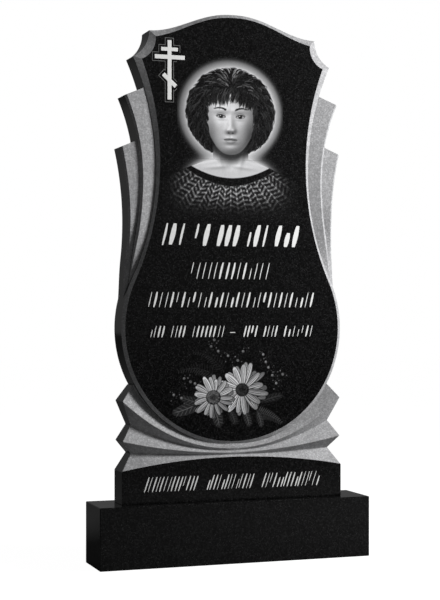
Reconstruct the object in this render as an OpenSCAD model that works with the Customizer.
// Carved granite headstone: an upright slab (stele) with a vase-shaped polished panel between
// pleated honed wings, standing on a polished plinth block.
// Frame: X to the right, Y to the back, Z up; the origin is the middle of the plinth's underside.

/* [Plinth] */
// Width of the plinth
plinth_w = 604; // [520:5:800]
// Depth of the plinth, front to back
plinth_d = 120; // [90:5:300]
// Height of the plinth
plinth_h = 130; // [80:5:250]

/* [Slab] */
// Width of the slab, at its foot and at the panel's bulb
slab_w = 494; // [400:2:600]
// Height of the slab above the plinth
slab_h = 1034; // [850:2:1300]
// Thickness of the slab
slab_t = 60; // [50:1:100]

/* [Front panel] */
// Width of the panel's bevel round the bulb
bevel_w = 7; // [4:0.5:10]
// Depth of the panel's bevel
bevel_d = 5; // [2:0.5:8]
// How far the panel's waist is in from the slab's side
waist_in = 75.5; // [60:0.5:90]
// How far the shoulder tips are in from the slab's side
shoulder_in = 25.5; // [15:0.5:35]
// Drop from the crest of the dome to the shoulder tips
shoulder_drop = 100; // [80:1:130]
// How far the dome's corners are in from the slab's side
corner_in = 60.5; // [50:0.5:70]
// Drop from the crest of the dome to its corners
corner_drop = 44; // [30:1:60]
// Hollow of the notch between a shoulder tip and a dome corner
notch_sag = 9.5; // [5:0.5:14]
// Bevel at a shoulder tip, across and down
tip_bevel = [17.5, 5];
// Bevel at a dome corner, across and down
corner_bevel = [12.5, 12.5];

/* [Wings] */
// How far a wing's tip is in from the slab's side: upper and lower wing
wing_tip_in = [11, 3.5];
// How far a wing's narrowest place is in from the slab's side
wing_waist_in = [47, 21];
// Drop of a wing's slanting top edge for each unit outwards
wing_slant = 0.42; // [0.2:0.02:0.6]
// Radius of a wing's edge between its narrowest place and its straight run down to the bulb
wing_bend_r = [700, 720];
// Depth of a wing's face at its outer edge, at the tip and at the lower end
wing_edge_d = [[3, 13], [8, 21]];
// Stretch of each wing, from 0 at its top to 1 at its lower end, over which its face turns outwards.
wing_turn = [[0.64, 0.98], [0.42, 0.8]];
// Depth of a wing's face at its inner edge, at the tip and at the lower end
wing_root_d = [[7.5, 9], [9, 17]];
// Width and depth of the sloping edge of a wing, where nothing lies below it
wing_chamfer = [4, 4];
// Width and depth of the sloping step from the upper wing down to the lower one
wing_step = [5.5, 5.5];

/* [Foot and pleats] */
// Height of the foot at its crown, and at its corners
foot_h = [92.5, 69];
// Height of the pleated band between the foot's crown and the bulb
band_h = 26.5; // [20:0.5:40]
// How far the pleats' tips are in from the slab's side
tip_in = 2; // [0:0.5:6]
// How far the grooves' ends are in from the slab's side
groove_in = 24; // [14:0.5:30]
// How far the end of the groove round the bulb is in from the slab's side
bulb_in = 30; // [24:0.5:36]
// Depth of the grooves in the middle, and at the slab's sides
groove_d = [3.5, 20];
// Depth of the ridges between the grooves
ridge_d = 1.5; // [0.5:0.5:4]

/* [Hidden] */

half_w = slab_w / 2;
front = -slab_t / 2;
back = slab_t / 2;
bulb_r = half_w;
bulb_z = foot_h[0] + band_h + bulb_r;
waist_x = half_w - waist_in;
// Shares of the way up from the bulb's middle to the crest
waist_z = rise(0.5);
wing_tip_z = [rise(0.73), rise(0.569)];
wing_waist_z = [rise(0.47), rise(0.335)];
wing_end_z = [bulb_z + 0.3 * bulb_r, bulb_z + 0.16 * bulb_r];
// How far a hidden edge reaches into the solid next to it
bury = 8;
// How far inside the bulb's side a wing's edge ends
sink = 3;

function rise(share) = bulb_z + share * (slab_h - bulb_z);
function mix(a, b, t) = a + (b - a) * t;
// Goes smoothly from 0 to 1 while t goes from a to b
function ease(a, b, t) = let (s = min(1, max(0, (t - a) / (b - a)))) s * s * (3 - 2 * s);
// Radius of an arc that starts upright and ends dx across and dz along
function arc_r(dx, dz) = (dx * dx + dz * dz) / (2 * dx);
// How far such an arc has gone across after dz
function arc_x(r, dz) = r - sqrt(r * r - dz * dz);
// Radius of the arc that starts upright at the waist and joins the bulb's circle smoothly
function neck_r(waist, drop, r) = (waist * waist + drop * drop - r * r) / (2 * (r - waist));

// ---- Panel -----------------------------------------------------------------------------
// Points after a, up to b, on an arc that is hollow to the left of the way by sag
function hollow(a, b, sag, n) = let (
    way = b - a,
    len = norm(way),
    r = arc_r(sag, len / 2),
    left = [-way[1], way[0]] / len,
    middle = (a + b) / 2 - left * (r - sag),
    turn = asin(len / (2 * r)))
    [for (i = [1 : n])
        let (t = mix(-turn, turn, i / n))
        middle + r * (left * cos(t) + way / len * sin(t))];

// Dome from a corner to the crest: round in the middle and hollow towards the corner
function dome(corner, crest, wave, n) = [for (i = [1 : n])
    let (
        x = corner[0] * (1 - (i - 0.5) / n),
        fall = (1 - cos(180 * x / wave)) / (1 - cos(180 * corner[0] / wave)))
    [x, crest - (crest - corner[1]) * pow(fall, 1.15)]];

// Right half of the panel's outline, from the bottom of the bulb to the crest, as [x, z]
function outline(r, waist, z, tip, corner, crest, wave) = let (
    neck = neck_r(waist, z - bulb_z, r),
    join = atan2(z - bulb_z, waist + neck),
    upper = arc_r(tip[0] - waist, tip[1] - z))
    concat(
        [for (i = [0.5 : 1 : 43.5])
            let (t = mix(-90, join, i / 44))
            [r * cos(t), bulb_z + r * sin(t)]],
        [for (i = [0 : 13])
            let (drop = (z - bulb_z - r * sin(join)) * (1 - i / 14))
            [waist + arc_x(neck, drop), z - drop]],
        [for (i = [0 : 16])
            let (dz = (tip[1] - z) * i / 16)
            [waist + arc_x(upper, dz), z + dz]],
        hollow(tip, corner, notch_sag, 10),
        dome(corner, crest, wave, 24));

rim_tip = [half_w - shoulder_in, slab_h - shoulder_drop];
rim_corner = [half_w - corner_in, slab_h - corner_drop];
rim = outline(bulb_r, waist_x, waist_z, rim_tip, rim_corner, slab_h, rim_corner[0]);
face = outline(bulb_r - bevel_w, waist_x - bevel_w, waist_z + 2 * bevel_w, rim_tip - tip_bevel,
    rim_corner - corner_bevel, slab_h - bevel_w, rim_corner[0] + 2 * bevel_w);

// Both halves of an outline as a ring at the depth y
function ring(half, y) = concat(
    [for (p = half) [p[0], y, p[1]]],
    [for (i = [len(half) - 1 : -1 : 0]) [-half[i][0], y, half[i][1]]]);

// Polished panel, bevelled round its face and going right through the slab
module panel() {
    n = 2 * len(face);
    heart = (bulb_z + waist_z) / 2;
    points = concat([[0, front, heart], [0, back, heart]],
        ring(face, front), ring(rim, front + bevel_d), ring(rim, back));
    polyhedron(points, [for (i = [0 : n - 1])
        let (a = 2 + i, b = 2 + (i + 1) % n)
        each [[0, b, a], [a, b, n + b], [a, n + b, n + a], [n + a, n + b, 2 * n + b],
            [n + a, 2 * n + b, 2 * n + a], [1, 2 * n + a, 2 * n + b]]]);
}

// ---- Sections swept into a solid -------------------------------------------------------
// Solid through sections of the same number of points; ends are closed by strips between the
// first half of a section's points and the second half, which runs back behind it
module swept(sections) {
    n = len(sections[0]);
    last = len(sections) - 1;
    function strip(k, j, flip) = let (
        a = k * n + j,
        b = k * n + j + 1,
        c = k * n + n - 2 - j,
        d = k * n + n - 1 - j)
        flip ? [[a, b, d], [b, c, d]] : [[d, b, a], [d, c, b]];
    polyhedron([for (s = sections) each s], concat(
        [for (k = [0 : last - 1], j = [0 : n - 1])
            let (a = k * n + j, b = k * n + (j + 1) % n)
            each [[a, b, n + b], [a, n + b, n + a]]],
        [for (j = [0 : n / 2 - 2]) each strip(0, j, false)],
        [for (j = [0 : n / 2 - 2]) each strip(last, j, true)]));
}

// ---- Wings -----------------------------------------------------------------------------
// Half-width of the panel's rim at a height below its shoulder
function rim_x(z) = let (
    neck = neck_r(waist_x, waist_z - bulb_z, bulb_r),
    join = atan2(waist_z - bulb_z, waist_x + neck))
    z > waist_z ? waist_x + arc_x(arc_r(rim_tip[0] - waist_x, rim_tip[1] - waist_z), z - waist_z)
    : z > bulb_z + bulb_r * sin(join) ? waist_x + arc_x(neck, waist_z - z)
    : sqrt(bulb_r * bulb_r - pow(z - bulb_z, 2));

// Half-width of a wing's outer edge: an arc from the tip to its narrowest place, an arc on from
// there, and a straight run that ends inside the bulb
function edge_x(wing, z) = let (
    narrow = half_w - wing_waist_in[wing],
    up = z - wing_waist_z[wing],
    tip = [half_w - wing_tip_in[wing] - narrow, wing_tip_z[wing] - wing_waist_z[wing]],
    end_x = sqrt(pow(bulb_r, 2) - pow(wing_end_z[wing] - bulb_z, 2)) - sink,
    end = [end_x - narrow, wing_waist_z[wing] - wing_end_z[wing]],
    r = min(wing_bend_r[wing], arc_r(end[0], end[1])),
    lean = atan2(end[1], r - end[0]) - acos(min(1, r / norm([r - end[0], end[1]]))),
    bend = r * sin(lean))
    narrow + (up > 0 ? arc_x(arc_r(tip[0], tip[1]), up)
    : up > -bend ? arc_x(r, up)
    : arc_x(r, bend) + tan(lean) * (-up - bend));

// Section of a wing at t, from 0 at its slanting top to 1 inside the bulb
function wing_section(wing, t) = let (
    z = mix(wing_tip_z[wing], wing_end_z[wing], t),
    x = edge_x(wing, z),
    low = wing == 0 ? ease(0.2, 0.3, t) : 0,
    step = mix(wing_chamfer[0], wing_step[0], low) * (1 - ease(0.7, 1, t)),
    root = wing == 0 ? rim_x(z) - bury
        : edge_x(0, z) + wing_step[0] / 2 - bury * ease(0.5, 1, t),
    root_z = z + wing_slant * (x - root) * (1 - ease(0, 0.4, t)),
    edge_d = mix(wing_edge_d[wing][0], wing_edge_d[wing][1], ease(wing_turn[wing][0], wing_turn[wing][1], t)),
    root_d = mix(wing_root_d[wing][0], wing_root_d[wing][1], ease(0.2, wing == 0 ? 0.6 : 1, t)),
    foot_d = edge_d + mix(wing_chamfer[1], wing_step[1], low) * (1 - 0.8 * ease(0.5, 1, t)),
    out_z = z - wing_slant * step * (1 - ease(0, 0.4, t)))
    [[root, front + root_d, root_z], [x, front + edge_d, z], [x + step, front + foot_d, out_z],
        [x + step, back, out_z], [(root + x + step) / 2, back, (root_z + out_z) / 2],
        [root, back, root_z]];

module wing(which) {
    swept([for (i = [0 : 26]) wing_section(which, i / 26)]);
}

// ---- Foot and pleats -------------------------------------------------------------------
// Under the groove round the bulb the creases are: ridge, groove, ridge, groove.
// Where each ends at the slab's side, as shares of the way from the foot's corner to the bulb's
// middle, and where each crosses the middle, as shares of the way from the foot to the bulb
side_share = [0.49, 0.32, 0.21, 0.12];
middle_share = [0.70, 0.52, 0.355, 0.175];
// How sharply each crease rises towards the slab's side
upturn = [2.15, 2, 1.9, 1.5];
crease_in = [tip_in, groove_in, tip_in, groove_in];

function groove_depth(t) = mix(groove_d[0], groove_d[1], abs(t));

// Crease at t, from -1 at the left side to 1 at the right side, as [x, y, z]
function crease(i, t) = let (
    z0 = foot_h[0] + middle_share[i] * band_h,
    z1 = mix(foot_h[1], bulb_z, side_share[i]))
    [t * (half_w - crease_in[i]), front + (i % 2 == 0 ? ridge_d : groove_depth(t)),
        mix(z0, z1, pow(abs(t), upturn[i]))];

// Groove round the bulb, and the hidden edge of its wall, at a distance out from the bulb
function round_bulb(t, out, y) = let (r = bulb_r + out, x = t * (half_w - bulb_in + out))
    [x, y, bulb_z - sqrt(r * r - x * x)];

// Upper edge of the foot, an arc from corner to corner
function foot_edge(t) = let (r = arc_r(foot_h[0] - foot_h[1], half_w))
    [t * half_w, front, foot_h[0] - arc_x(r, t * half_w)];

function behind(p) = [p[0], back, p[2]];

function foot_section(t) = let (
    face = concat(
        [round_bulb(t, -bury, front + bevel_d + 1),
            round_bulb(t, mix(-3, 2, t * t), front + groove_depth(t))],
        [for (i = [0 : 3]) crease(i, t)],
        [foot_edge(t), [t * half_w, front, 0]]),
    n = len(face))
    concat(face, [for (i = [n - 1 : -1 : 0]) behind(face[i])]);

module foot() {
    swept([for (i = [28 : -1 : -28]) foot_section(i / 28)]);
}

// ---- Subcomponents ---------------------------------------------------------------------
// Upright slab, carved from one piece of granite
module stele() {
    color("#2b2b2e")
    translate([0, 0, plinth_h])
    union() {
        panel();
        foot();
        for (side = [0, 1], which = [0, 1])
            mirror([side, 0, 0]) wing(which);
    }
}

// Block that the slab stands on
module plinth() {
    color("#232326")
    translate([-plinth_w / 2, -plinth_d / 2, 0])
    cube([plinth_w, plinth_d, plinth_h]);
}

plinth();
stele();
